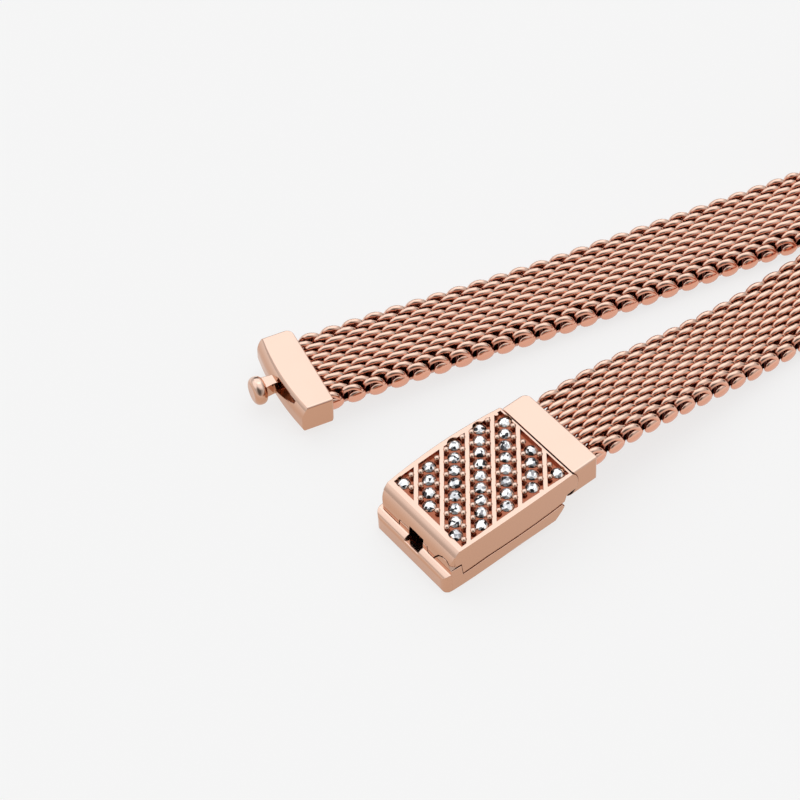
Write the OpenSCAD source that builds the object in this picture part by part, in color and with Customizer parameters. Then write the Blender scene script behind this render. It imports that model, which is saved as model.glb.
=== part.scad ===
// Mesh bracelet with a stone-set lid clasp, lying open on a table.
// The clasp points along +X towards the band, its flat underside is centred on the origin,
// and the band goes round and comes back to the stud end on the +Y side.

/* [Clasp shell] */
// Length of the lid's top
lid_l = 13.1; // [12.6:0.1:14.5]
// Width of the lid at its corners
lid_w = 10; // [9.7:0.1:11]
// How far the lid's top arches up between its front and rear edges
lid_arch = 0.28; // [0.15:0.01:0.4]
// How far each long side of the lid bows out at its middle
side_bow = 0.23; // [0.1:0.01:0.35]
// Height of the lid's front edge above the table
front_h = 5; // [4.9:0.05:5.6]
// Upward slope of the clasp towards the band, in degrees
slope = 3.2; // [2:0.1:4.4]
// Depth of the side parting line below the lid's edges
part_depth = 3.05; // [2.9:0.01:3.3]
// Thickness of the lid's top plate below its edges
plate_t = 1; // [0.95:0.01:1.1]
// Thickness of the lid's side walls
wall_t = 0.75; // [0.6:0.05:1]
// Gap between the lid and the lower shell
shell_gap = 0.1; // [0.06:0.01:0.12]

/* [Lid pattern] */
// Direction of the bars and the stone rows, in degrees from the lid's length
bar_angle = 51; // [48:0.5:54]
// Distance between neighbouring bars
bar_pitch = 2.28; // [2.25:0.01:2.4]
// Width of a bar
bar_w = 0.4; // [0.3:0.05:0.5]
// Width of the rim along the sides and the rear
rim_w = 0.3; // [0.2:0.05:0.4]
// Width of the rim along the front
front_rim = 0.5; // [0.35:0.05:0.6]
// Depth of the channels between the bars
channel_depth = 0.35; // [0.25:0.01:0.4]
// Girdle diameter of a stone
stone_d = 1.22; // [1.05:0.01:1.25]
// Diameter of a bead prong
bead_d = 0.42; // [0.36:0.02:0.46]

/* [Hinge] */
// Distance of the hinge axis in front of the lid's rear edge
hinge_back = 1.4; // [1.36:0.01:1.44]
// Depth of the hinge axis below the lid's edges
hinge_depth = 1.48; // [1.47:0.01:1.54]
// Diameter of the hinge pin
pin_d = 0.5; // [0.4:0.02:0.52]
// Length of the knuckle between the lid's two ears
knuckle_l = 7; // [6:0.1:7.2]

/* [End caps] */
// Length of each end cap along the band
cap_l = 2.85; // [2.6:0.05:3.2]
// Width of each end cap
cap_w = 9.8; // [9.6:0.05:9.95]
// Height of each end cap
cap_h = 3.2; // [3.15:0.05:3.4]
// Height of the stud end's cap above the table
stud_lift = 0.7; // [0.45:0.05:0.9]

/* [Stud] */
// Width of the neck
neck_w = 1.1; // [0.9:0.05:1.3]
// Height of the neck
neck_h = 1.4; // [1.2:0.05:1.45]
// Length of the neck between cap and head
neck_l = 1.85; // [1.6:0.05:2.1]
// Distance of the neck from the middle of the cap
neck_y = 0.45; // [0.3:0.05:0.55]
// Diameter of the head
head_d = 2.75; // [2.4:0.05:2.9]
// Thickness of the head
head_t = 1.3; // [1.1:0.05:1.5]

/* [Band] */
// Width of the woven band
band_w = 8.8; // [8.4:0.1:8.8]
// Thickness of the woven band
band_t = 2.5; // [2.3:0.05:2.5]
// Angle between the two free stretches
spread = 13.3; // [12.5:0.1:16]
// Distance from the lid's front edge to the point where the two stretches would meet
meet_x = 93.8; // [90:0.1:100]
// Distance from the stud cap's front face to that point
meet_stud = 95.1; // [90:0.1:100]
// Distance before that point where the stretches turn apart
turn_before = 39.5; // [39.5:0.1:42]
// Radius of the turn apart
turn_r = 30; // [27:0.5:34]
// Radius of the round end of the loop
loop_r = 9; // [8.5:0.1:11]
// Length over which the band rolls from lying flat to standing on edge
roll_l = 18; // [16:0.5:20]
// Length over which the band sinks from the clasp to the table
clasp_sink = 27; // [24:0.5:29]
// Length over which the band sinks from the stud cap to the table
stud_sink = 29; // [24:0.5:34]

/* [Hidden] */
$fn = 48;
cut = 0.5;
pin_clearance = 0.04;
pocket_depth = 0.8;
pocket_clearance = 0.06;

// Lid rows from front to rear: place counted in bars from the lid's middle, stones,
// then pitch and shift as shares of a stone's diameter
rows = [
    [3, 1, 0, 0.08],
    [2, 4, 1.164, 0.12],
    [1, 8, 1.148, 0.16],
    [0, 9, 1.094, 0.25],
    [-1, 8, 1.123, 0.2],
    [-2, 4, 1.164, 0.08],
    [-3, 1, 0, 0.08],
];
bead_pitch_share = 1.115;

// Arch of the lid's top and bow of its sides, as circles through the corners
function sag_r(length, sag) = (length * length / 4 + sag * sag) / (2 * sag);
arch_r = sag_r(lid_l, lid_arch);
bow_r = sag_r(lid_l, side_bow);
function arch_z(x) = sqrt(arch_r ^ 2 - (x - lid_l / 2) ^ 2) - arch_r + lid_arch;
function arch_tilt(x) = asin((x - lid_l / 2) / arch_r);

// Front of the shell: the lid's face curves out, and the lower shell has a rounded lip further out
front_out = 1;
front_r = 2.92;
front_c = [front_r - front_out, -sqrt(front_r ^ 2 - (front_r - front_out) ^ 2)];
front_corner = 0.5;
lip_out = 1.7;
lip_r = 0.75;
foot_r = 0.35;
shell_bottom = -front_h - lid_l * sin(slope);
foot_rear = lid_l - 2.85;
foot_mid = (foot_rear - lip_out + foot_r) / 2;

// Hinge, the lid's rear that is round about it, and the radii that keep the lid clear
// of the front wall and of the end cap
hinge = [lid_l - hinge_back, -hinge_depth];
rear_chamfer = 0.12;
rear_depth = 2.35;
rear_r = norm([hinge_back, hinge_depth - rear_chamfer]);
sweep_r = rear_r + 0.08;
knuckle_r = 0.5;
gate_r = hinge[0] - 0.08;
front_wall_x = 0.25;
cavity_depth = 4.1;
cavity_end = lid_l - 2.8;
ear_front = lid_l - 2.3;

// Steps of the front parting line, as depths below the lid's edge, and the hump on its near side,
// as places across the clasp with shares of the rise from the low step to the high one
low_step = 2.55;
mid_step = 1.85;
high_step = 1.38;
hump = [[-2.65, 0], [-2.85, 0.34], [-3.25, 0.81], [-3.75, 1],
    [-4.2, 1], [-4.6, 0.81], [-4.9, 0.43], [-9, 0.2]];
hole_w = 1.95;
hole_top = 1.45;
hole_bottom = 2.98;
hole_y = -0.12;

// End caps, in the clasp's own slope and on the level
cap_gap = 0.08;
cap_x = lid_l + cap_gap;
cap_lean = 0.5;
cap_round = 0.8;
cap_edge = 0.2;
cap_mid = -cap_gap - cap_h / 2;

// Plan of the loop, from the clasp's end of the band to the stud's end
function on_table(x, z) = [x * cos(slope) - z * sin(slope), front_h + x * sin(slope) + z * cos(slope)];
cap_end = cap_x + cap_l;
band_start = on_table(cap_end - pocket_depth + pocket_clearance, cap_mid);
stud_band_x = cap_l - pocket_depth + pocket_clearance;
half_spread = spread / 2;
turn_y = turn_before * sin(half_spread) + turn_r * cos(half_spread);
loop_turn = acos(turn_y / (turn_r + loop_r));
turn_angle = half_spread + loop_turn;
arc_per_degree = PI / 180;
lengths = [
    meet_x - turn_before - band_start[0],
    turn_r * turn_angle * arc_per_degree,
    loop_r * (180 + 2 * loop_turn) * arc_per_degree,
    turn_r * turn_angle * arc_per_degree,
    meet_stud - stud_band_x - turn_before,
];
radii = [0, -turn_r, loop_r, -turn_r, 0];
function sum_to(k) = k == 0 ? 0 : sum_to(k - 1) + lengths[k - 1];
band_l = sum_to(len(lengths));

function turn_deg(k, s) = radii[k] == 0 ? 0 : s / radii[k] / arc_per_degree;
function heading_at(k) = k == 0 ? 0 : heading_at(k - 1) + turn_deg(k - 1, lengths[k - 1]);
function step_on(k, s) =
    let (a = heading_at(k), b = a + turn_deg(k, s), r = radii[k])
    r == 0 ? s * [cos(a), sin(a)] : r * [sin(b) - sin(a), cos(a) - cos(b)];
function start_of(k) = k == 0 ? [band_start[0], 0] : start_of(k - 1) + step_on(k - 1, lengths[k - 1]);
function part_of(s, k = 0) = k == len(lengths) - 1 || s < sum_to(k + 1) ? k : part_of(s, k + 1);

// Height of the band: it sinks from each end cap to the table,
// and rolls on to its outer edge on the way round
function ease(u) = let (v = max(0, min(1, u))) v * v * (3 - 2 * v);
function sink(s, over, drop, rise) =
    let (u = s / over)
    u < 0 ? drop + rise * s : u > 1 ? 0
        : drop * (1 - ease(u)) + rise * over * (u ^ 3 - 2 * u ^ 2 + u);
turn_start = sum_to(1);
turn_end = sum_to(4);
function roll(s) = 90 * ease(min(s - turn_start, turn_end - s) / roll_l);
clasp_drop = band_start[1] + pocket_depth * sin(slope) - band_t / 2;
stud_drop = stud_lift + cap_h / 2 - band_t / 2;
function lift(s) =
    sink(s - pocket_depth, clasp_sink, clasp_drop, tan(slope))
    + sink(band_l - s - pocket_depth, stud_sink, stud_drop, 0);
function band_point(s) =
    let (k = part_of(s), p = start_of(k) + step_on(k, s - sum_to(k)), b = roll(s))
    [p[0], p[1], band_w / 2 * sin(b) + band_t / 2 * cos(b) + lift(s)];

// Band section: a rectangle with rounded corners, three points to each
band_corner = 0.75;
function corner(k) =
    let (sx = (k == 0 || k == 3) ? 1 : -1, sy = k < 2 ? 1 : -1)
    [for (a = [0, 45, 90]) [
        sx * (band_w / 2 - band_corner) + band_corner * cos(90 * k + a),
        sy * (band_t / 2 - band_corner) + band_corner * sin(90 * k + a)]];
section = [for (k = [0:3]) each corner(k)];
ring_count = 96;

function unit(v) = v / norm(v);
function ring(s) =
    let (
        e = 0.05,
        tangent = unit(band_point(min(s + e, band_l)) - band_point(max(s - e, 0))),
        side = unit(cross([0, 0, 1], tangent)),
        up = cross(tangent, side),
        b = roll(s),
        inward = side * cos(b) + up * sin(b),
        outward = up * cos(b) - side * sin(b))
    [for (p = section) band_point(s) + p[0] * inward + p[1] * outward];

module band_sweep() {
    n = len(section);
    points = [for (i = [0:ring_count]) each ring(band_l * i / ring_count)];
    sides = [for (i = [0:ring_count - 1], j = [0:n - 1])
        each [[i * n + j, (i + 1) * n + j, i * n + (j + 1) % n],
              [i * n + (j + 1) % n, (i + 1) * n + j, (i + 1) * n + (j + 1) % n]]];
    ends = [[for (j = [0:n - 1]) j], [for (j = [n - 1:-1:0]) ring_count * n + j]];
    polyhedron(points, concat(sides, ends), convexity = 8);
}

// Lays a side view, drawn as length against height, across the clasp's width
module across(w) {
    rotate([90, 0, 0]) linear_extrude(w, center = true, convexity = 6) children();
}

// Puts what is drawn in the clasp's own slope on the table
module in_clasp() {
    translate([-foot_mid, 0, front_h]) rotate([0, -slope, 0]) children();
}

// Everything above the arch of the lid, lowered by d
module above_arch(d) {
    difference() {
        translate([-5, -lid_w, -d - 0.5]) cube([lid_l + 10, 2 * lid_w, 3]);
        translate([lid_l / 2, 0, lid_arch - arch_r]) rotate([90, 0, 0])
            cylinder(h = 3 * lid_w, r = arch_r - d, center = true, $fn = 360);
    }
}

// Plan of the shell with bowed sides and rounded front corners
module shell_plan(grow, out, corner_r, behind) {
    half = lid_w / 2 + grow - 0.1 - corner_r;
    intersection() {
        union() {
            translate([corner_r - out, -lid_w]) square([lid_l + behind + grow + out - corner_r, 2 * lid_w]);
            translate([-out, -half]) square([2 * out, 2 * half]);
            for (s = [-1, 1]) translate([corner_r - out, s * half]) circle(corner_r);
        }
        translate([lid_l / 2, lid_w / 2 + grow + side_bow - bow_r]) circle(bow_r, $fn = 360);
        translate([lid_l / 2, -lid_w / 2 - grow - side_bow + bow_r]) circle(bow_r, $fn = 360);
    }
}

module front_face() {
    intersection() {
        union() {
            translate(front_c) circle(front_r);
            translate([-front_out, shell_bottom]) square([front_r, front_c[1] - shell_bottom]);
        }
        translate([-front_out, shell_bottom]) square([2 * front_r, -shell_bottom]);
    }
}

// Top of the front wall, from the far side to the near side, raised by the gap given
function front_steps(gap) = concat([
    [lid_w, gap - low_step],
    [2.2 + gap, gap - low_step],
    [2.1 + gap, gap - mid_step],
    [-1.6 - gap, gap - mid_step],
    [-1.75 - gap, gap - low_step]],
    [for (p = hump) [p[0] + (p[0] > -4 ? gap : -gap), gap - low_step + p[1] * (low_step - high_step)]]);

// Space of the front wall, outside the arc that the lid swings on
module front_gate(gap, clear) {
    difference() {
        translate([-3, 0, 0]) rotate([90, 0, 90]) linear_extrude(5)
            polygon(concat(front_steps(gap), [[-lid_w, shell_bottom], [lid_w, shell_bottom]]));
        translate([hinge[0], 0, hinge[1]]) rotate([90, 0, 0])
            cylinder(h = 3 * lid_w, r = gate_r - clear, center = true, $fn = 360);
    }
}

module hole() {
    translate([-3, hole_y - hole_w / 2, -hole_bottom]) cube([4, hole_w, hole_bottom - hole_top]);
}

// Lid

module lid_profile() {
    intersection() {
        union() {
            front_face();
            translate([0, shell_bottom]) square([lid_l, 2 - shell_bottom]);
        }
        polygon([[-2, -part_depth - 0.3], [0.3, -part_depth - 0.3], [3, -part_depth],
            [lid_l - 1.1, -part_depth], [lid_l - 0.9, -2.5], [lid_l - 0.9, -rear_chamfer],
            [lid_l, -rear_chamfer], [lid_l - rear_chamfer, 0], [lid_l - rear_chamfer, 1],
            [0, 1], [0, 0], [-2, 0]]);
    }
    intersection() {
        translate(hinge) circle(rear_r, $fn = 96);
        translate([hinge[0], -rear_depth]) square([rear_r, rear_depth - rear_chamfer]);
    }
}

// Rows run from near the front corner of one side to the rear of the other
row_dir = [cos(bar_angle), sin(bar_angle)];
row_step = [-sin(bar_angle), cos(bar_angle)];
inner_y = lid_w / 2 - rim_w;
function row_origin(k) = [lid_l / 2, 0] + k * bar_pitch * row_step;
function row_high(k) = let (p = row_origin(k))
    min((inner_y - p[1]) / row_dir[1], (lid_l - rim_w - p[0]) / row_dir[0]);
function row_low(k) = let (p = row_origin(k))
    max((-inner_y - p[1]) / row_dir[1], (front_rim - p[0]) / row_dir[0]);
function row_mid(r) = (row_high(r[0]) + row_low(r[0])) / 2 + r[3] * stone_d;
function along_row(r, u) = row_origin(r[0]) + (row_mid(r) + u) * row_dir;
stones = [for (r = rows, i = [0:r[1] - 1]) along_row(r, (i - (r[1] - 1) / 2) * r[2] * stone_d)];

// Beads stand in pairs beside the gaps between the stones of a row
bead_side = (bar_pitch - bar_w) / 2 - bead_d / 2 + 0.05;
beads = [for (r = rows, i = [0:r[1]], side = [-1, 1])
    let (pitch = max(r[2], bead_pitch_share) * stone_d)
    along_row(r, (i - r[1] / 2) * pitch) + side * bead_side * row_step];

module channel_plan() {
    intersection() {
        translate([front_rim, -inner_y]) square([lid_l - rim_w - front_rim, 2 * inner_y]);
        for (r = rows) translate(row_origin(r[0])) rotate(bar_angle)
            translate([-lid_l, (bar_w - bar_pitch) / 2]) square([2 * lid_l, bar_pitch - bar_w]);
    }
}

module bead_plan() {
    for (b = beads) translate(b) circle(d = bead_d, $fn = 24);
}

module on_arch(p) {
    translate([p[0], p[1], arch_z(p[0])]) rotate([0, arch_tilt(p[0]), 0]) children();
}

// Stone cut: table, crown, girdle and pavilion as shares of the diameter
table_share = 0.56;
crown_share = 0.15;
girdle_share = 0.03;
pavilion_share = 0.4;
girdle_drop = channel_depth - 0.02;
seat_clearance = 0.03;

module seat() {
    r = stone_d / 2 + seat_clearance;
    deep = stone_d * (girdle_share + pavilion_share) + seat_clearance;
    translate([0, 0, -girdle_drop]) rotate_extrude($fn = 24)
        polygon([[0, -deep], [0.1, -deep], [r, -girdle_share * stone_d], [r, 1], [0, 1]]);
}

module clasp_lid() {
    color("#d8a48c") in_clasp() difference() {
        intersection() {
            across(3 * lid_w) lid_profile();
            translate([0, 0, -8]) linear_extrude(12) shell_plan(0, front_out, front_corner, rear_r);
        }
        above_arch(0);
        difference() {
            translate([0, 0, -channel_depth - 0.4]) linear_extrude(3) difference() {
                channel_plan();
                bead_plan();
            }
            translate([lid_l / 2, 0, lid_arch - arch_r]) rotate([90, 0, 0])
                cylinder(h = 3 * lid_w, r = arch_r - channel_depth, center = true, $fn = 360);
        }
        for (s = stones) on_arch(s) seat();
        translate([front_wall_x + 0.1, wall_t - lid_w / 2, -8])
            cube([ear_front - front_wall_x, lid_w - 2 * wall_t, 8 - plate_t]);
        translate([ear_front - cut, -knuckle_l / 2 - 0.1, -8])
            cube([4, knuckle_l + 0.2, 8 - plate_t]);
        translate([hinge[0], 0, hinge[1]]) rotate([90, 0, 0])
            cylinder(h = knuckle_l + 0.2, r = knuckle_r + 0.08, center = true);
        translate([hinge[0], 0, hinge[1]]) rotate([90, 0, 0])
            cylinder(h = lid_w - 0.8, d = pin_d + 2 * pin_clearance, center = true);
        front_gate(shell_gap, shell_gap);
        hole();
    }
}

// Lower shell with the tongue and the end cap

module base_profile() {
    lip_x = lip_r - lip_out;
    foot_x = foot_r - lip_out;
    front_face();
    translate([lip_x, -low_step - lip_r]) circle(lip_r);
    translate([-lip_out, -front_h + foot_r]) square([lip_r, front_h - foot_r - low_step - lip_r]);
    translate([foot_x, -front_h + foot_r]) circle(foot_r);
    translate([foot_x, shell_bottom - 1]) square([lip_r, -low_step - lip_r - shell_bottom + 1]);
    polygon([[lip_x, -low_step], [lip_x, shell_bottom - 1], [foot_rear, shell_bottom - 1],
        [foot_rear, shell_bottom + 0.1], [lid_l - 2.4, -4.75], [lid_l - 1.5, -3.95],
        [lid_l - 0.85, -part_depth], [lid_l - 0.85, -low_step]]);
}

module shell_end() {
    w = lid_w + 0.2 + 2 * side_bow;
    round_r = 0.7;
    translate([-3, 0, 0]) rotate([90, 0, 90]) linear_extrude(lid_l + 4) union() {
        translate([-w / 2, -front_h + round_r]) square([w, front_h]);
        translate([-w / 2 + round_r, shell_bottom - 1]) square([w - 2 * round_r, front_h]);
        for (s = [-1, 1]) translate([s * (w / 2 - round_r), -front_h + round_r]) circle(round_r);
    }
}

module below_parting() {
    across(3 * lid_w) polygon([[0, -part_depth - 0.3 - shell_gap], [0.3, -part_depth - 0.3 - shell_gap],
        [3, -part_depth - shell_gap], [lid_l, -part_depth - shell_gap],
        [lid_l, shell_bottom - 1], [-3, shell_bottom - 1], [-3, -part_depth - 0.3 - shell_gap]]);
}

module tray() {
    intersection() {
        union() {
            below_parting();
            front_gate(0, 0);
        }
        across(3 * lid_w) difference() {
            base_profile();
            intersection() {
                translate(hinge) circle(sweep_r, $fn = 96);
                translate([hinge[0], shell_bottom]) square(-shell_bottom);
            }
        }
        translate([0, 0, -12]) linear_extrude(14) shell_plan(0.1, lip_out, lip_r, 0);
        shell_end();
    }
}

// A rectangle from one corner to another, with its right corners rounded, the lower one by r[0]
module right_rounded(low, high, r) {
    size = high - low;
    translate(low + [0, r[0]]) square(size - [0, r[0] + r[1]]);
    translate(low) square(size - [max(r), 0]);
    for (k = [0, 1]) {
        translate([high[0] - r[k], k == 0 ? low[1] + r[0] : high[1] - r[1]]) circle(r[k]);
        translate([high[0] - max(r) - 0.1, k == 0 ? low[1] : high[1] - r[1]])
            square([max(r) + 0.1 - r[k], r[k]]);
    }
}

// Side view, plan and end view of a cap, each with its own rounded edges
module cap_body(top) {
    w = cap_w / 2;
    intersection() {
        across(3 * cap_w) right_rounded([-2, top - cap_h], [cap_l, top], [cap_round, cap_edge]);
        translate([0, 0, -10]) linear_extrude(20) right_rounded([-2, -w], [cap_l, w], [0.3, 1]);
        translate([-3, 0, 0]) rotate([90, 0, 90]) linear_extrude(10) for (s = [0, 1]) mirror([s, 0])
            right_rounded([-0.1, top - cap_h], [w, top], [0.4, cap_edge]);
    }
}

module rounded_square(w, h, r) {
    square([w - 2 * r, h], center = true);
    square([w, h - 2 * r], center = true);
    for (sx = [-1, 1], sy = [-1, 1]) translate([sx * (w / 2 - r), sy * (h / 2 - r)]) circle(r);
}

module band_pocket() {
    rotate([90, 0, 90]) linear_extrude(pocket_depth + cut)
        rounded_square(band_w + 2 * pocket_clearance, band_t + 2 * pocket_clearance, band_corner);
}

tongue_w = 5.2;
tongue_top = hinge_depth + 1.2;
knuckle_foot = 1.4;

module clasp_base() {
    color("#d8a48c") difference() {
        in_clasp() difference() {
            union() {
                tray();
                translate([cavity_end - cut, -knuckle_l / 2, -4.4])
                    cube([hinge[0] + 0.2 - cavity_end + cut, knuckle_l, 4.4 - hinge_depth - 0.8]);
                translate([hinge[0] - knuckle_r + 0.05, -knuckle_l / 2, hinge[1] - knuckle_foot])
                    cube([2 * knuckle_r - 0.1, knuckle_l, knuckle_foot]);
                translate([hinge[0], 0, hinge[1]]) rotate([90, 0, 0])
                    cylinder(h = knuckle_l, r = knuckle_r, center = true);
                translate([hinge[0] - cut, -tongue_w / 2, -cap_gap - cap_h])
                    cube([cap_x - hinge[0] + cut + 1, tongue_w, cap_gap + cap_h - tongue_top]);
                difference() {
                    intersection() {
                        translate([cap_x, 0, 0]) cap_body(-cap_gap);
                        across(3 * lid_w) polygon([[cap_x, 0], [lid_l + cap_l + 2, 0],
                            [lid_l + cap_l + 2, -cap_h - 1], [cap_x - cap_lean, -cap_h - cap_gap]]);
                    }
                    translate([hinge[0], 0, hinge[1]]) rotate([90, 0, 0])
                        cylinder(h = 3 * lid_w, r = sweep_r, center = true, $fn = 96);
                }
            }
            translate([front_wall_x, 1 - lid_w / 2, -cavity_depth])
                cube([cavity_end - front_wall_x, lid_w - 2, cavity_depth]);
            translate([hinge[0], 0, hinge[1]]) rotate([90, 0, 0])
                cylinder(h = lid_w, d = pin_d + 2 * pin_clearance, center = true);
            translate([cap_end - pocket_depth, 0, cap_mid]) band_pocket();
            hole();
        }
        translate([-30, -30, -20]) cube([60, 60, 20]);
    }
}

module hinge_pin() {
    color("#b98368") in_clasp() translate([hinge[0], 0, hinge[1]]) rotate([90, 0, 0])
        cylinder(h = lid_w - 1, d = pin_d, center = true);
}

// Stones: a round cut with star, kite and girdle facets above, and long facets down to a point below
mid_share = 0.78;
low_share = 0.3;

module stone(p) {
    r = stone_d / 2;
    crown = crown_share * stone_d;
    belt = girdle_share * stone_d;
    deep = belt + pavilion_share * stone_d;
    mid_r = mid_share * r;
    low_r = low_share * r;
    mid_z = crown * (r - mid_r * cos(22.5)) / (r - table_share * r);
    low_z = -deep + (deep - belt) * low_r * cos(22.5) / r;
    top = [for (i = [0:7]) [table_share * r * cos(45 * i), table_share * r * sin(45 * i), crown]];
    mid = [for (i = [0:7]) [mid_r * cos(45 * i + 22.5), mid_r * sin(45 * i + 22.5), mid_z]];
    girdle = [for (z = [0, -belt], i = [0:15]) [r * cos(22.5 * i), r * sin(22.5 * i), z]];
    low = [for (i = [0:7]) [low_r * cos(45 * i + 22.5), low_r * sin(45 * i + 22.5), low_z]];
    culet = [[0, 0, -deep]];
    table_face = [[for (i = [7:-1:0]) i]];
    crown_faces = [for (i = [0:7])
        let (j = (i + 1) % 8, before = 8 + (i + 7) % 8, m = 8 + i,
            g = 16 + 2 * i, h = 16 + (2 * i + 2) % 16)
        each [[j, m, i], [m, g, i], [g, before, i], [g + 1, g, m], [h, g + 1, m]]];
    belt_faces = [for (i = [0:15]) let (j = (i + 1) % 16)
        each [[32 + j, 32 + i, 16 + i], [16 + j, 32 + j, 16 + i]]];
    low_faces = [for (i = [0:7])
        let (before = 48 + (i + 7) % 8, m = 48 + i, g = 32 + 2 * i, h = 32 + (2 * i + 2) % 16)
        each [[g, g + 1, m], [g + 1, h, m], [g, m, 56], [before, g, 56]]];
    on_arch(p) translate([0, 0, -girdle_drop])
        polyhedron(concat(top, mid, girdle, low, culet),
            concat(table_face, crown_faces, belt_faces, low_faces));
}

module stone_piece(i) {
    color("#eef2f6") in_clasp() stone(stones[i]);
}

// Stud end

module stud_place() {
    translate([meet_x - foot_mid - meet_stud * cos(spread), meet_stud * sin(spread), stud_lift])
        rotate(-spread) children();
}

// Front of the stud cap, turned a little: it curves out above and towards the middle,
// and its lower edge is rounded
stud_out = 0.6;
stud_curve = 1.5;
stud_front_r = (stud_curve ^ 2 + stud_out ^ 2) / (2 * stud_out);
stud_edge = 0.8;
stud_lead = 0.32;
stud_bow = 0.42;
stud_bow_r = sag_r(cap_w, stud_bow);
stud_turn = 1.6;
module stud_front() {
    translate([stud_front_r - stud_out, cap_h - stud_curve]) circle(stud_front_r);
    translate([-stud_out, stud_edge]) square([2, cap_h - stud_curve - stud_edge]);
    translate([stud_edge - stud_out, stud_edge]) circle(stud_edge);
    translate([stud_edge - stud_out, 0]) square([cap_l + 1, cap_h]);
}

neck_drop = 0.85;
neck_mid = cap_h - neck_drop - neck_h / 2;
head_drop = 0.15;
head_mid = neck_mid - head_drop;

// Recess in the cap's face on the near side of the neck, seen from the front and from above
scoop_l = 3.2;
scoop_depth = 0.3;
module scoop() {
    near = neck_y - neck_w / 2;
    start = near + 0.1;
    roof = cap_h - 0.35;
    intersection() {
        translate([-2, 0, 0]) rotate([90, 0, 90]) linear_extrude(4)
            polygon([[start, roof - 1.7], [start, roof],
                [near - scoop_l, roof], [near - scoop_l, roof - 0.35]]);
        linear_extrude(cap_h) polygon([[-2, start], [scoop_depth, start], [scoop_depth, near],
            [-0.1, near - scoop_l], [-2, near - scoop_l]]);
    }
}

module head() {
    edge = 0.45 * head_t;
    translate([-neck_l - head_t / 2, neck_y, head_mid]) rotate([0, 90, 0]) rotate_extrude() {
        translate([0, -head_t / 2]) square([head_d / 2 - edge, head_t]);
        translate([0, edge - head_t / 2]) square([head_d / 2, head_t - 2 * edge]);
        for (s = [-1, 1]) translate([head_d / 2 - edge, s * (head_t / 2 - edge)]) circle(edge);
    }
}

module neck() {
    flare_l = 0.7;
    back = 1;
    sunk = 0.3;
    w = neck_w / 2;
    wide = w + 0.12;
    translate([0, neck_y, neck_mid - neck_h / 2]) linear_extrude(neck_h)
        polygon([[back, w], [-neck_l + flare_l, w], [-neck_l, wide], [-neck_l - sunk, wide],
            [-neck_l - sunk, -wide], [-neck_l, -wide], [-neck_l + flare_l, -w], [back, -w]]);
}

module stud_end() {
    color("#d8a48c") stud_place() difference() {
        union() {
            difference() {
                intersection() {
                    cap_body(cap_h);
                    rotate(stud_turn) translate([stud_bow_r - stud_lead, 0, 0]) rotate_extrude($fn = 360)
                        translate([stud_bow_r, 0]) mirror([1, 0]) stud_front();
                }
                scoop();
            }
            neck();
            head();
        }
        translate([cap_l - pocket_depth, 0, cap_h / 2]) band_pocket();
    }
}

module mesh_band() {
    color("#c9967e") translate([-foot_mid, 0, 0]) band_sweep();
}

function stone_name(i) = str("stone_", i < 9 ? "0" : "", i + 1);

mesh_band();
stud_end();
clasp_base();
clasp_lid();
hinge_pin();
for (i = [0:len(stones) - 1]) stone_piece(i);
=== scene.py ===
import math

import bmesh
import bpy
import numpy as np
from mathutils import Matrix, Vector


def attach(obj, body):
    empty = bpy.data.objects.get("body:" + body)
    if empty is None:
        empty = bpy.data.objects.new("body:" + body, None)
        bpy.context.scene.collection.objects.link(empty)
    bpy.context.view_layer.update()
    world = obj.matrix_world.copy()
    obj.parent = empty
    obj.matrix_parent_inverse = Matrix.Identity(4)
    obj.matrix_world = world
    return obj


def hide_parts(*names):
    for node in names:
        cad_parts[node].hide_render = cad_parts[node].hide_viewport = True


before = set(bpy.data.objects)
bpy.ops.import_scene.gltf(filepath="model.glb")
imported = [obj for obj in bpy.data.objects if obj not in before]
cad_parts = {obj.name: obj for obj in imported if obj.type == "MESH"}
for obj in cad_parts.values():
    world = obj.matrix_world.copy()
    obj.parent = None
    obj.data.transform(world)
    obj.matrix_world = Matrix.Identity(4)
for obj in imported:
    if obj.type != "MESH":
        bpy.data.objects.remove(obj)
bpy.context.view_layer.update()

mm = 0.001


class Flow:
    # One output of a node, which sums and products can be written with
    def __init__(self, maker, socket):
        self.maker, self.socket = maker, socket

    def out(self, name):
        return Flow(self.maker, self.socket.node.outputs[name])

    def combine(self, operation, first, second):
        return self.maker.add("ShaderNodeMath", {"operation": operation}, {0: first, 1: second})

    def __add__(self, other):
        return self.combine("ADD", self, other)

    def __radd__(self, other):
        return self.combine("ADD", other, self)

    def __sub__(self, other):
        return self.combine("SUBTRACT", self, other)

    def __rsub__(self, other):
        return self.combine("SUBTRACT", other, self)

    def __mul__(self, other):
        return self.combine("MULTIPLY", self, other)

    def __rmul__(self, other):
        return self.combine("MULTIPLY", other, self)

    def __truediv__(self, other):
        return self.combine("DIVIDE", self, other)

    def __rtruediv__(self, other):
        return self.combine("DIVIDE", other, self)


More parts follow.
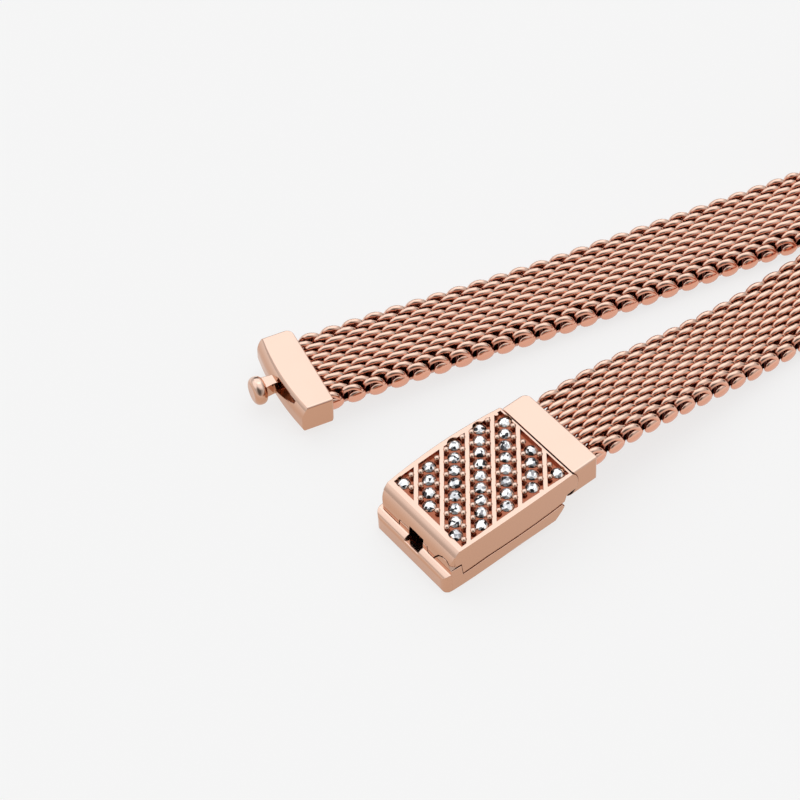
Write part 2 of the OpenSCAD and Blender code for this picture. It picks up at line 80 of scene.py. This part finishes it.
class Maker:
    # Adds nodes to one tree: the settings come first, then the values or links of the sockets
    def __init__(self, tree):
        self.tree = tree
        tree.nodes.clear()

    def add(self, kind, settings=None, values=None, output=0):
        node = self.tree.nodes.new(kind)
        for name, value in (settings or {}).items():
            if name == "steps":
                self.setSteps(node.color_ramp, value)
            else:
                setattr(node, name, value)
        for name, value in (values or {}).items():
            if isinstance(value, Flow):
                self.tree.links.new(value.socket, node.inputs[name])
            else:
                node.inputs[name].default_value = value
        return Flow(self, node.outputs[output]) if len(node.outputs) else None

    def setSteps(self, ramp, steps):
        ramp.interpolation = "CONSTANT"
        while len(ramp.elements) > 1:
            ramp.elements.remove(ramp.elements[-1])
        for i, (place, colour) in enumerate(steps):
            element = ramp.elements[0] if i == 0 else ramp.elements.new(place)
            element.position, element.color = place, colour

    def between(self, value, low, high):
        # 0 below low, 1 above high and a smooth rise in the middle
        return self.add("ShaderNodeMapRange", {"interpolation_type": "SMOOTHSTEP"},
                        {"Value": value, "From Min": low, "From Max": high})

    def mix(self, factor, first, second):
        return self.add("ShaderNodeMix", {"data_type": "RGBA"},
                        {"Factor": factor, 6: first, 7: second}, output=2)


def newMaterial(name):
    material = bpy.data.materials.new(name)
    material.use_nodes = True
    return material, Maker(material.node_tree)


def newTree(name, inputs):
    tree = bpy.data.node_groups.new(name, "GeometryNodeTree")
    for socket, kind in inputs.items():
        tree.interface.new_socket(socket, in_out="INPUT", socket_type="NodeSocket" + kind)
    tree.interface.new_socket("Geometry", in_out="OUTPUT", socket_type="NodeSocketGeometry")
    return tree, Maker(tree)


def addObject(name, data):
    thing = bpy.data.objects.new(name, data)
    bpy.context.scene.collection.objects.link(thing)
    return thing


# Metals: lighter and yellower on top than on the walls, which is painted light on the faces that look up
# and painted shade on the walls, and a dark painted shade for what lies deep
roseGold = {"top": (0.87, 0.63, 0.52, 1), "wall": (0.61, 0.33, 0.21, 1), "shade": (0.36, 0.12, 0.07, 1),
            "roughness": 0.1, "edgeRadius": 0.09, "grain": 0.02}
wireGold = {"top": (0.9, 0.62, 0.5, 1), "wall": (0.78, 0.38, 0.26, 1), "shade": (0.12, 0.005, 0.002, 1),
            "roughness": 0.14, "edgeRadius": 0.0, "grain": 0.05}
pinSteel = {"top": (0.45, 0.30, 0.24, 1), "wall": (0.35, 0.22, 0.17, 1),
            "roughness": 0.3, "edgeRadius": 0.0, "grain": 0.04}

metalPaintedLightAndGrain = {
    # The tilt paints light and shade: faces that stand upright take the wall colour, faces that look up the
    # top colour
    "tilt": (0.15, 0.9),                         # how far a face looks up, from wall to top colour
    "cloudScale": 180.0, "cloudShare": 0.3,      # soft clouds in that change
    "scuffScale": 2600.0, "scuffHeight": 0.02,   # fine marks, and their height in mm
    "leastRough": 0.7, "roughSpan": 0.6,         # shares of the metal's roughness
}


def metalMaterial(name, look, shade=None):
    grain = metalPaintedLightAndGrain
    material, make = newMaterial(name)
    place = make.add("ShaderNodeTexCoord", output="Object")
    facing = make.add("ShaderNodeTexCoord", output="Normal")
    up = make.add("ShaderNodeSeparateXYZ", values={"Vector": facing}, output="Z")
    cloud = make.add("ShaderNodeTexNoise", values={
        "Vector": place, "Scale": grain["cloudScale"], "Detail": 3.0})
    scuff = make.add("ShaderNodeTexNoise", values={
        "Vector": place, "Scale": grain["scuffScale"], "Detail": 4.0, "Roughness": 0.6})
    # Painted light and shade: the colour goes from the darker wall colour to the lighter top colour as the
    # face looks up, in soft clouds
    clouded = 1 - grain["cloudShare"] / 2 + cloud * grain["cloudShare"]
    colour = make.mix(make.between(up, *grain["tilt"]) * clouded, look["wall"], look["top"])
    # Painted shade: the shade colour darkens where the given mask finds the metal deep or closed in
    if shade:
        colour = make.mix(shade(make, place), colour, look["shade"])
    gloss = look["roughness"] * grain["leastRough"] + scuff * (look["roughness"] * grain["roughSpan"])
    bumpValues = {"Strength": look["grain"], "Distance": grain["scuffHeight"] * mm, "Height": scuff}
    if look["edgeRadius"]:
        bumpValues["Normal"] = make.add("ShaderNodeBevel", {"samples": 6},
                                        {"Radius": look["edgeRadius"] * mm})
    bump = make.add("ShaderNodeBump", values=bumpValues)
    shader = make.add("ShaderNodeBsdfPrincipled", values={
        "Base Color": colour, "Metallic": 1.0, "Roughness": gloss, "Normal": bump})
    make.add("ShaderNodeOutputMaterial", values={"Surface": shader})
    return material


# How the clasp stands: its slope, its top's height at the front, and how far back the foot's middle is
clasp = {"slope": 3.2, "frontHeight": 5.0, "footMiddle": 4.45}

# The lid's plate, in the clasp's own slope. Each fade is a start and an end, from the line that it is for,
# and the fades shape the painted shade in the channels
lid = {
    "length": 13.1, "width": 10.0, "arch": 0.28, "rim": 0.3, "frontRim": 0.5,
    "barAngle": 51.0, "barPitch": 2.28, "barWidth": 0.4, "stone": 1.22, "bead": 0.42,
    "sideFade": (0.02, 0.04), "rearFade": (0.0, 0.03), "frontFade": (-0.05, -0.02),
    "depthFade": (0.08, 0.3),
}


def fadeFrom(make, value, line, fade):
    # The value is in metres, and the line and the fade are in mm
    return make.between(value, (line + fade[0]) * mm, (line + fade[1]) * mm)


def channelShade(make, place):
    # Painted shade: deep between the bars, none on the bars, the rim and the walls
    where = make.add("ShaderNodeSeparateXYZ", values={"Vector": place})
    turn = math.radians(clasp["slope"])
    x, z = where.out("X") + clasp["footMiddle"] * mm, where.out("Z") - clasp["frontHeight"] * mm
    along = x * math.cos(turn) + z * math.sin(turn)
    height = z * math.cos(turn) - x * math.sin(turn)
    half = lid["length"] / 2 * mm
    share = (along - half) / half
    depth = (1 - share * share) * (lid["arch"] * mm) - height
    side = make.add("ShaderNodeMath", {"operation": "ABSOLUTE"}, {0: where.out("Y")})
    inside = 1 - fadeFrom(make, side, lid["width"] / 2 - lid["rim"], lid["sideFade"])
    back = 1 - fadeFrom(make, along, lid["length"] - lid["rim"], lid["rearFade"])
    front = fadeFrom(make, along, lid["frontRim"], lid["frontFade"])
    return fadeFrom(make, depth, 0, lid["depthFade"]) * inside * back * front


def weaveShade(make, place):
    # Painted shade: the wires carry how open they are to the light, and what is closed takes the shade
    # colour
    return 1 - make.add("ShaderNodeAttribute", {"attribute_name": "open"}, output="Fac")


# Stones: the steps are the colours of the painted facet reflections
stoneLook = {
    "cells": 3300.0, "haze": 900.0, "roughness": 0.06, "metallic": 0.85, "ior": 2.2,
    "steps": [(0.0, (0.03, 0.03, 0.035, 1)), (0.16, (0.3, 0.3, 0.32, 1)),
              (0.3, (0.66, 0.67, 0.7, 1)), (0.46, (1.0, 1.0, 1.0, 1))],
}


def stoneMaterial():
    # Painted reflections: small white, grey and near-black cells stand for the facets seen through the
    # table
    look = stoneLook
    material, make = newMaterial("clearStone")
    place = make.add("ShaderNodeTexCoord", output="Object")
    cells = make.add("ShaderNodeTexVoronoi", {"feature": "F1"},
                     {"Vector": place, "Scale": look["cells"]}, output="Color")
    pick = make.add("ShaderNodeSeparateColor", values={"Color": cells}, output="Red")
    sparkle = make.add("ShaderNodeValToRGB", {"steps": look["steps"]}, {"Fac": pick})
    haze = make.add("ShaderNodeTexNoise", values={"Vector": place, "Scale": look["haze"]})
    shader = make.add("ShaderNodeBsdfPrincipled", values={
        "Base Color": sparkle, "Metallic": look["metallic"], "Roughness": haze * look["roughness"],
        "IOR": look["ior"]})
    make.add("ShaderNodeOutputMaterial", values={"Surface": shader})
    return material


polished = metalMaterial("polishedRoseGold", roseGold)
lidMetal = metalMaterial("polishedLid", roseGold, channelShade)
wireMetal = metalMaterial("roseGoldWire", wireGold, weaveShade)
pinMetal = metalMaterial("pinMetal", pinSteel)
clearStone = stoneMaterial()
finishes = {"clasp_lid": lidMetal, "hinge_pin": pinMetal}

for name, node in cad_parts.items():
    node.data.materials.clear()
    node.data.materials.append(clearStone if name.startswith("stone") else finishes.get(name, polished))
print("materials made")


# The band's way round, as the solids have it: two free stretches and a round end that stands on edge
bandRoute = {
    "capEnd": 16.03, "capMiddle": -1.68, "pocket": 0.8, "clearance": 0.06,
    "capLength": 2.85, "studLift": 0.7, "capHeight": 3.2,
    "spread": 13.3, "meetClasp": 93.8, "meetStud": 95.1, "turnBefore": 39.5, "turnRadius": 30.0,
    "loopRadius": 9.0, "rollLength": 18.0, "claspSink": 27.0, "studSink": 29.0,
    "width": 8.8, "thickness": 2.5,
    "reach": 0.05,   # how far before and after a point its direction is taken
}


def ease(share):
    share = min(1.0, max(0.0, share))
    return share * share * (3 - 2 * share)


class Route:
    # Five stretches in a row, each straight or an arc, from the clasp's cap to the stud's
    def __init__(self, r):
        self.r = r
        slope = math.radians(clasp["slope"])
        x, z = r["capEnd"] - r["pocket"] + r["clearance"], r["capMiddle"]
        self.start = Vector((x * math.cos(slope) - z * math.sin(slope),
                             clasp["frontHeight"] + x * math.sin(slope) + z * math.cos(slope)))
        self.claspRise = math.tan(slope)
        studStart = r["capLength"] - r["pocket"] + r["clearance"]
        half = math.radians(r["spread"] / 2)
        turnY = r["turnBefore"] * math.sin(half) + r["turnRadius"] * math.cos(half)
        extra = math.acos(turnY / (r["turnRadius"] + r["loopRadius"]))
        turnLength = r["turnRadius"] * (half + extra)
        self.lengths = [
            r["meetClasp"] - r["turnBefore"] - self.start.x,
            turnLength,
            r["loopRadius"] * (math.pi + 2 * extra),
            turnLength,
            r["meetStud"] - studStart - r["turnBefore"]]
        self.radii = [0, -r["turnRadius"], r["loopRadius"], -r["turnRadius"], 0]
        self.sums, self.headings, self.starts = [0.0], [0.0], [Vector((self.start.x, 0.0))]
        for k, length in enumerate(self.lengths):
            self.starts.append(self.starts[k] + self.stepOn(k, length))
            self.headings.append(self.headings[k] + (length / self.radii[k] if self.radii[k] else 0))
            self.sums.append(self.sums[k] + length)
        self.length = self.sums[-1]
        self.claspDrop = self.start.y + r["pocket"] * math.sin(slope) - r["thickness"] / 2
        self.studDrop = r["studLift"] + r["capHeight"] / 2 - r["thickness"] / 2

    def stepOn(self, k, s):
        a, radius = self.headings[k], self.radii[k]
        if not radius:
            return Vector((s * math.cos(a), s * math.sin(a)))
        b = a + s / radius
        return Vector((radius * (math.sin(b) - math.sin(a)), radius * (math.cos(a) - math.cos(b))))

    def roll(self, s):
        return math.pi / 2 * ease(min(s - self.sums[1], self.sums[-2] - s) / self.r["rollLength"])

    def sink(self, s, over, drop, rise):
        # Leaves a cap with its slope, and comes down flat on the table
        u = s / over
        if u < 0:
            return drop + rise * s
        if u > 1:
            return 0.0
        return drop * (1 - ease(u)) + rise * over * (u ** 3 - 2 * u ** 2 + u)

    def point(self, s):
        r = self.r
        k = 0
        while k < len(self.lengths) - 1 and s >= self.sums[k + 1]:
            k += 1
        flat = self.starts[k] + self.stepOn(k, s - self.sums[k])
        b = self.roll(s)
        lift = (self.sink(s - r["pocket"], r["claspSink"], self.claspDrop, self.claspRise)
                + self.sink(self.length - s - r["pocket"], r["studSink"], self.studDrop, 0))
        height = r["width"] / 2 * math.sin(b) + r["thickness"] / 2 * math.cos(b) + lift
        return Vector((flat.x - clasp["footMiddle"], flat.y, height))

    def axes(self, s):
        reach = self.r["reach"]
        ahead = self.point(min(s + reach, self.length)) - self.point(max(s - reach, 0))
        ahead.normalize()
        side = Vector((0, 0, 1)).cross(ahead).normalized()
        up = ahead.cross(side)
        b = self.roll(s)
        across = -(side * math.cos(b) + up * math.sin(b))
        outward = up * math.cos(b) - side * math.sin(b)
        return across, outward


route = Route(bandRoute)


def pathMesh(step):
    count = int(route.length / step) + 1
    places = [route.length * i / (count - 1) for i in range(count)]
    points = [route.point(s) * mm for s in places]
    mesh = bpy.data.meshes.new("bandPath")
    mesh.from_pydata(points, [(i, i + 1) for i in range(count - 1)], [])
    axes = [route.axes(s) for s in places]
    for name, k in (("across", 0), ("outward", 1)):
        layer = mesh.attributes.new(name, "FLOAT_VECTOR", "POINT")
        layer.data.foreach_set("vector", np.array([tuple(a[k]) for a in axes]).ravel())
    return mesh, sum((points[i + 1] - points[i]).length for i in range(count - 1)) / mm


# One pair of wire coils, lying flat, with the links and lobes that close its edges.
# Points are along, across from the last row, and height as a share of halfHeight
weave = {
    "coilPitch": 1.11, "rowPitch": 0.685, "rows": 12, "wire": 0.62, "halfLength": 1.12, "halfHeight": 0.94,
    "flatness": 0.6, "straighten": 0.11, "knots": 4,
    "link": [(-1.0, -0.26, 0.35), (-0.9, -0.22, 0.66), (-0.45, -0.1, 0.95), (0.05, 0.02, 1.0),
             (0.42, 0.14, 0.78), (0.66, 0.24, 0.4)],
    "loop": [(0.84, -0.3, 0.35), (0.8, -0.05, 0.05), (0.66, 0.08, -0.2)],
    "lobe": (0.98, 0.34, 0.74), "lobePlace": (0.22, 0.31, -0.06),   # half sizes, and its middle
    "shadeSheet": 4.05, "shadeSheetLap": 1.02,                                # half width, share of the pitch
    "closed": 0.1, "edgeFade": 0.2,                                 # where the shade between the wires ends
}
lastRow = weave["rowPitch"] * (weave["rows"] - 1) / 2


def coilPoints():
    w = weave
    knots = w["knots"]   # in each half turn
    climb = w["rowPitch"] / math.pi
    points = [(-u, -(lastRow + v), z * w["halfHeight"]) for u, v, z in reversed(w["link"])]
    for i in range(knots, knots * (w["rows"] - 2) + knots // 2 + 1):
        angle = math.pi * i / knots
        lift = math.sin(angle)
        points.append((-w["halfLength"] * math.cos(angle),
                       -lastRow + climb * (angle - math.pi / 2) + w["straighten"] * math.cos(angle),
                       math.copysign(abs(lift) ** w["flatness"], lift) * w["halfHeight"]))
    points += [(u, lastRow + v, z * w["halfHeight"]) for u, v, z in w["loop"]]
    return points


def halfTurn(p):
    return (-p[0], -p[1], p[2])


def coilCurve():
    w = weave
    curve = bpy.data.curves.new("wirePair", "CURVE")
    curve.dimensions = "3D"
    curve.bevel_depth = w["wire"] / 2 * mm
    curve.bevel_resolution = 2
    curve.use_fill_caps = True
    even = [(u - w["coilPitch"] / 2, v, z) for u, v, z in coilPoints()]
    for points in (even, [halfTurn(p) for p in even]):
        spline = curve.splines.new("BEZIER")
        spline.resolution_u = 2
        spline.bezier_points.add(len(points) - 1)
        for knot, p in zip(spline.bezier_points, points):
            knot.co = Vector(p) * mm
            knot.handle_left_type = knot.handle_right_type = "AUTO"
    return curve


def wirePair():
    w = weave
    holder = addObject("wirePairCurve", coilCurve())
    graph = bpy.context.evaluated_depsgraph_get()
    mesh = bpy.data.meshes.new_from_object(holder.evaluated_get(graph))
    bpy.data.objects.remove(holder)
    build = bmesh.new()
    build.from_mesh(mesh)
    shift = Vector((w["coilPitch"] / 2, lastRow, 0))
    near = Vector(w["lobePlace"]) + shift
    size = Matrix.Diagonal((*[c * mm for c in w["lobe"]], 1))
    for place in (near, Vector(halfTurn(near))):
        bmesh.ops.create_uvsphere(build, u_segments=14, v_segments=9, radius=1,
                                  matrix=Matrix.Translation(place * mm) @ size)
    # A thin dark sheet put in the shade between the upper and lower wires; the real weave has none, and it
    # takes the full painted shade colour
    wirePoints = len(build.verts)
    bmesh.ops.create_grid(build, x_segments=1, y_segments=1, size=1, matrix=Matrix.Diagonal(
        (w["coilPitch"] * w["shadeSheetLap"] * mm, w["shadeSheet"] * mm, 1, 1)))
    build.to_mesh(mesh)
    build.free()
    # How open each point is to the light, for the painted shade: the tops, undersides and edges are, the
    # middle isn't, and the sheet stays closed
    layer = mesh.attributes.new("open", "FLOAT", "POINT")
    for vertex in mesh.vertices[:wirePoints]:
        top = abs(vertex.co.z) / mm / w["halfHeight"] - w["closed"]
        edge = (abs(vertex.co.y) / mm - lastRow - w["closed"]) / w["edgeFade"]
        layer.data[vertex.index].value = ease(max(top, edge))
    return addObject("wirePair", mesh)


def wrapTree():
    # Repeats a flat unit along the band's way round and bends it to follow
    tree, make = newTree("wrapAlongBand", {
        "Geometry": "Geometry", "Unit": "Object", "Count": "Int", "First": "Float", "Pitch": "Float",
        "Start": "Float", "End": "Float", "Finish": "Material"})
    given = make.add("NodeGroupInput", output="Geometry")
    step = make.add("ShaderNodeCombineXYZ", values={"X": given.out("Pitch")})
    first = make.add("ShaderNodeCombineXYZ", values={"X": given.out("First")})
    places = make.add("GeometryNodeMeshLine", {"mode": "OFFSET"},
                      {"Count": given.out("Count"), "Start Location": first, "Offset": step})
    unit = make.add("GeometryNodeObjectInfo", values={"Object": given.out("Unit"), "As Instance": True},
                    output="Geometry")
    spread = make.add("GeometryNodeInstanceOnPoints", values={"Points": places, "Instance": unit})
    flat = make.add("GeometryNodeRealizeInstances", values={"Geometry": spread})
    way = make.add("GeometryNodeMeshToCurve", values={"Mesh": given})
    where = make.add("ShaderNodeSeparateXYZ", values={"Vector": make.add("GeometryNodeInputPosition")})
    moved = None
    for name, amount in (("across", where.out("Y")), ("outward", where.out("Z"))):
        axis = make.add("GeometryNodeInputNamedAttribute", {"data_type": "FLOAT_VECTOR"}, {"Name": name})
        taken = make.add("GeometryNodeSampleCurve",
                         {"data_type": "FLOAT_VECTOR", "mode": "LENGTH", "use_all_curves": True},
                         {"Curves": way, "Value": axis, "Length": where.out("X")})
        shift = make.add("ShaderNodeVectorMath", {"operation": "SCALE"}, {0: taken, "Scale": amount})
        moved = make.add("ShaderNodeVectorMath", {"operation": "ADD"},
                         {0: moved or taken.out("Position"), 1: shift})
    before = make.add("FunctionNodeCompare", {"operation": "LESS_THAN"},
                      {0: where.out("X"), 1: given.out("Start")})
    after = make.add("FunctionNodeCompare", {"operation": "GREATER_THAN"},
                     {0: where.out("X"), 1: given.out("End")})
    outside = make.add("FunctionNodeBooleanMath", {"operation": "OR"}, {0: before, 1: after})
    kept = make.add("GeometryNodeDeleteGeometry", values={"Geometry": flat, "Selection": outside})
    bent = make.add("GeometryNodeSetPosition", values={"Geometry": kept, "Position": moved})
    smooth = make.add("GeometryNodeSetShadeSmooth", values={"Geometry": bent})
    done = make.add("GeometryNodeSetMaterial", values={"Geometry": smooth, "Material": given.out("Finish")})
    make.add("NodeGroupOutput", values={"Geometry": done})
    return tree


def applyTree(name, mesh, tree, inputs, body):
    piece = addObject(name, mesh)
    modifier = piece.modifiers.new("nodes", "NODES")
    modifier.node_group = tree
    for item in tree.interface.items_tree:
        if item.in_out == "INPUT" and item.name in inputs:
            modifier[item.identifier] = inputs[item.name]
    graph = bpy.context.evaluated_depsgraph_get()
    result = bpy.data.meshes.new_from_object(piece.evaluated_get(graph))
    piece.modifiers.clear()
    piece.data = result
    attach(piece, body)
    print(name, len(result.polygons), "faces")
    return piece


# First and last pair, from the ends of the route, and how far the weave stays inside it
bandPieces = {"names": ["weaveClaspSide", "weaveRoundEnd", "weaveStudSide"],
              "first": -1.45, "last": 0.4, "hidden": 0.1, "pathStep": 0.25}


def makeWeave():
    b = bandPieces
    unit = wirePair()
    tree = wrapTree()
    path, length = pathMesh(b["pathStep"])
    room = length - b["first"] - b["last"]
    total = round(room / (2 * weave["coilPitch"])) + 1
    pitch = room / (total - 1)
    for k, name in enumerate(b["names"]):
        low, high = total * k // len(b["names"]), total * (k + 1) // len(b["names"])
        piece = applyTree(name, path, tree, {
            "Unit": unit, "Count": high - low, "First": (b["first"] + low * pitch) * mm,
            "Pitch": pitch * mm, "Start": b["hidden"] * mm, "End": (length - b["hidden"]) * mm,
            "Finish": wireMetal}, "bracelet")
        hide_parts("mesh_band")
    bpy.data.objects.remove(unit)


makeWeave()


# Domes on the bead prongs beside the stones. Each row has its place in bars from the middle,
# its stones, then its pitch and shift as shares of a stone
beadRows = {
    "rows": [(3, 1, 0.0, 0.08), (2, 4, 1.164, 0.12), (1, 8, 1.148, 0.16), (0, 9, 1.094, 0.25),
             (-1, 8, 1.123, 0.2), (-2, 4, 1.164, 0.08), (-3, 1, 0.0, 0.08)],
    "leastPitch": 1.115, "margin": 0.1, "dome": (0.29, 0.29, 0.26), "rise": -0.05,
}


def beadPlaces():
    margin = beadRows["margin"]
    turn = math.radians(lid["barAngle"])
    ahead, step = Vector((math.cos(turn), math.sin(turn))), Vector((-math.sin(turn), math.cos(turn)))
    innerY, rearX, frontX = lid["width"] / 2 - lid["rim"], lid["length"] - lid["rim"], lid["frontRim"]
    side = (lid["barPitch"] - lid["barWidth"]) / 2 - lid["bead"] / 2
    places = []
    for row, stones, share, shift in beadRows["rows"]:
        origin = Vector((lid["length"] / 2, 0)) + step * row * lid["barPitch"]
        high = min((innerY - origin.y) / ahead.y, (rearX - origin.x) / ahead.x)
        low = max((-innerY - origin.y) / ahead.y, (frontX - origin.x) / ahead.x)
        middle = (high + low) / 2 + shift * lid["stone"]
        pitch = max(share, beadRows["leastPitch"]) * lid["stone"]
        for i in range(stones + 1):
            for s in (-1, 1):
                p = origin + ahead * (middle + (i - stones / 2) * pitch) + step * (s * side)
                # A bead on the rim is left out
                if abs(p.y) < innerY - margin and frontX + margin < p.x < rearX - margin:
                    places.append(p)
    return places


def onLid(x, y, lift):
    # A place on the lid's arch, in the clasp's slope
    half = lid["length"] / 2
    z = lid["arch"] * (1 - ((x - half) / half) ** 2) + lift
    turn = math.radians(clasp["slope"])
    return Vector((x * math.cos(turn) - z * math.sin(turn) - clasp["footMiddle"], y,
                   clasp["frontHeight"] + x * math.sin(turn) + z * math.cos(turn))) * mm


def domeTree():
    tree, make = newTree("domesOnPoints", {"Geometry": "Geometry", "Size": "Vector", "Finish": "Material"})
    given = make.add("NodeGroupInput", output="Geometry")
    ball = make.add("GeometryNodeMeshUVSphere", values={"Segments": 12, "Rings": 8, "Radius": 1.0})
    spread = make.add("GeometryNodeInstanceOnPoints", values={
        "Points": given, "Instance": ball, "Scale": given.out("Size")})
    solid = make.add("GeometryNodeRealizeInstances", values={"Geometry": spread})
    smooth = make.add("GeometryNodeSetShadeSmooth", values={"Geometry": solid})
    done = make.add("GeometryNodeSetMaterial", values={"Geometry": smooth, "Material": given.out("Finish")})
    make.add("NodeGroupOutput", values={"Geometry": done})
    return tree


def makeBeads():
    points = bpy.data.meshes.new("beadPlaces")
    points.from_pydata([onLid(p.x, p.y, beadRows["rise"]) for p in beadPlaces()], [], [])
    applyTree("beadDomes", points, domeTree(), {
        "Size": [c * mm for c in beadRows["dome"]], "Finish": polished}, "lid")


makeBeads()


# Places and directions as the photo has them: to the right, away and up, in mm
stage = {
    "cameraPlace": (0, -159.9, 182.66), "pitch": 48.8, "lens": 117.0, "sensor": 36.0,
    "aimAhead": 100, "clip": (10, 20000), "claspTurn": 38.7, "claspFront": (2.01, -17.94),
    "floorReach": 3000, "floorGrey": 0.2, "floorGlow": 0.75,
}

# Light from all round: direction, inner and outer angle, and strength added to the base
studio = {
    "base": 0.62,
    "panels": [
        ((0.0, 0.66, 0.75), 24, 38, 0.62),
        ((-0.75, 0.1, 0.65), 18, 40, 0.5),
        ((0.25, -0.05, 0.97), 15, 40, 0.45),
        ((0.0, -0.8, 0.6), 15, 45, -0.5),
        ((0.9, 0.35, 0.15), 10, 25, -0.55),
        ((-0.1, 0.97, 0.2), 8, 20, -0.6),
    ],
}


def fromPhoto(x, y, z):
    turn = math.radians(-stage["claspTurn"])
    dx, dy = x - stage["claspFront"][0], y - stage["claspFront"][1]
    return Vector((dx * math.cos(turn) - dy * math.sin(turn) - clasp["footMiddle"],
                   dx * math.sin(turn) + dy * math.cos(turn), z)) * mm


def addCamera():
    data = bpy.data.cameras.new("camera")
    data.lens, data.sensor_width = stage["lens"], stage["sensor"]
    data.clip_start, data.clip_end = [distance * mm for distance in stage["clip"]]
    camera = addObject("camera", data)
    x, y, z = stage["cameraPlace"]
    down, ahead = math.radians(stage["pitch"]), stage["aimAhead"]
    camera.location = fromPhoto(x, y, z)
    aim = fromPhoto(x, y + ahead * math.cos(down), z - ahead * math.sin(down))
    camera.rotation_euler = (aim - camera.location).to_track_quat("-Z", "Y").to_euler()
    bpy.context.scene.camera = camera


def addFloor():
    material, make = newMaterial("paleFloor")
    grey, reach = stage["floorGrey"], stage["floorReach"] * mm
    shader = make.add("ShaderNodeBsdfPrincipled", values={
        "Base Color": (grey, grey, grey, 1), "Roughness": 0.9, "Specular IOR Level": 0.0,
        "Emission Color": (1, 1, 1, 1), "Emission Strength": stage["floorGlow"]})
    make.add("ShaderNodeOutputMaterial", values={"Surface": shader})
    mesh = bpy.data.meshes.new("floor")
    corners = [(-reach, -reach, 0), (reach, -reach, 0), (reach, reach, 0), (-reach, reach, 0)]
    mesh.from_pydata(corners, [], [(0, 1, 2, 3)])
    mesh.materials.append(material)
    addObject("floor", mesh)


def addWorld():
    world = bpy.data.worlds.new("studio")
    world.use_nodes = True
    make = Maker(world.node_tree)
    look = make.add("ShaderNodeTexCoord", output="Generated")
    strength = studio["base"]
    for way, inner, outer, amount in studio["panels"]:
        way = (fromPhoto(*way) - fromPhoto(0, 0, 0)).normalized()
        facing = make.add("ShaderNodeVectorMath", {"operation": "DOT_PRODUCT"}, {0: look, 1: way},
                          output="Value")
        strength = strength + amount * make.between(
            facing, math.cos(math.radians(outer)), math.cos(math.radians(inner)))
    back = make.add("ShaderNodeBackground", values={"Color": (1, 1, 1, 1), "Strength": strength})
    make.add("ShaderNodeOutputWorld", values={"Surface": back})
    bpy.context.scene.world = world


addCamera()
addFloor()
addWorld()
bpy.context.scene.view_settings.view_transform = "Standard"
print("stage set")
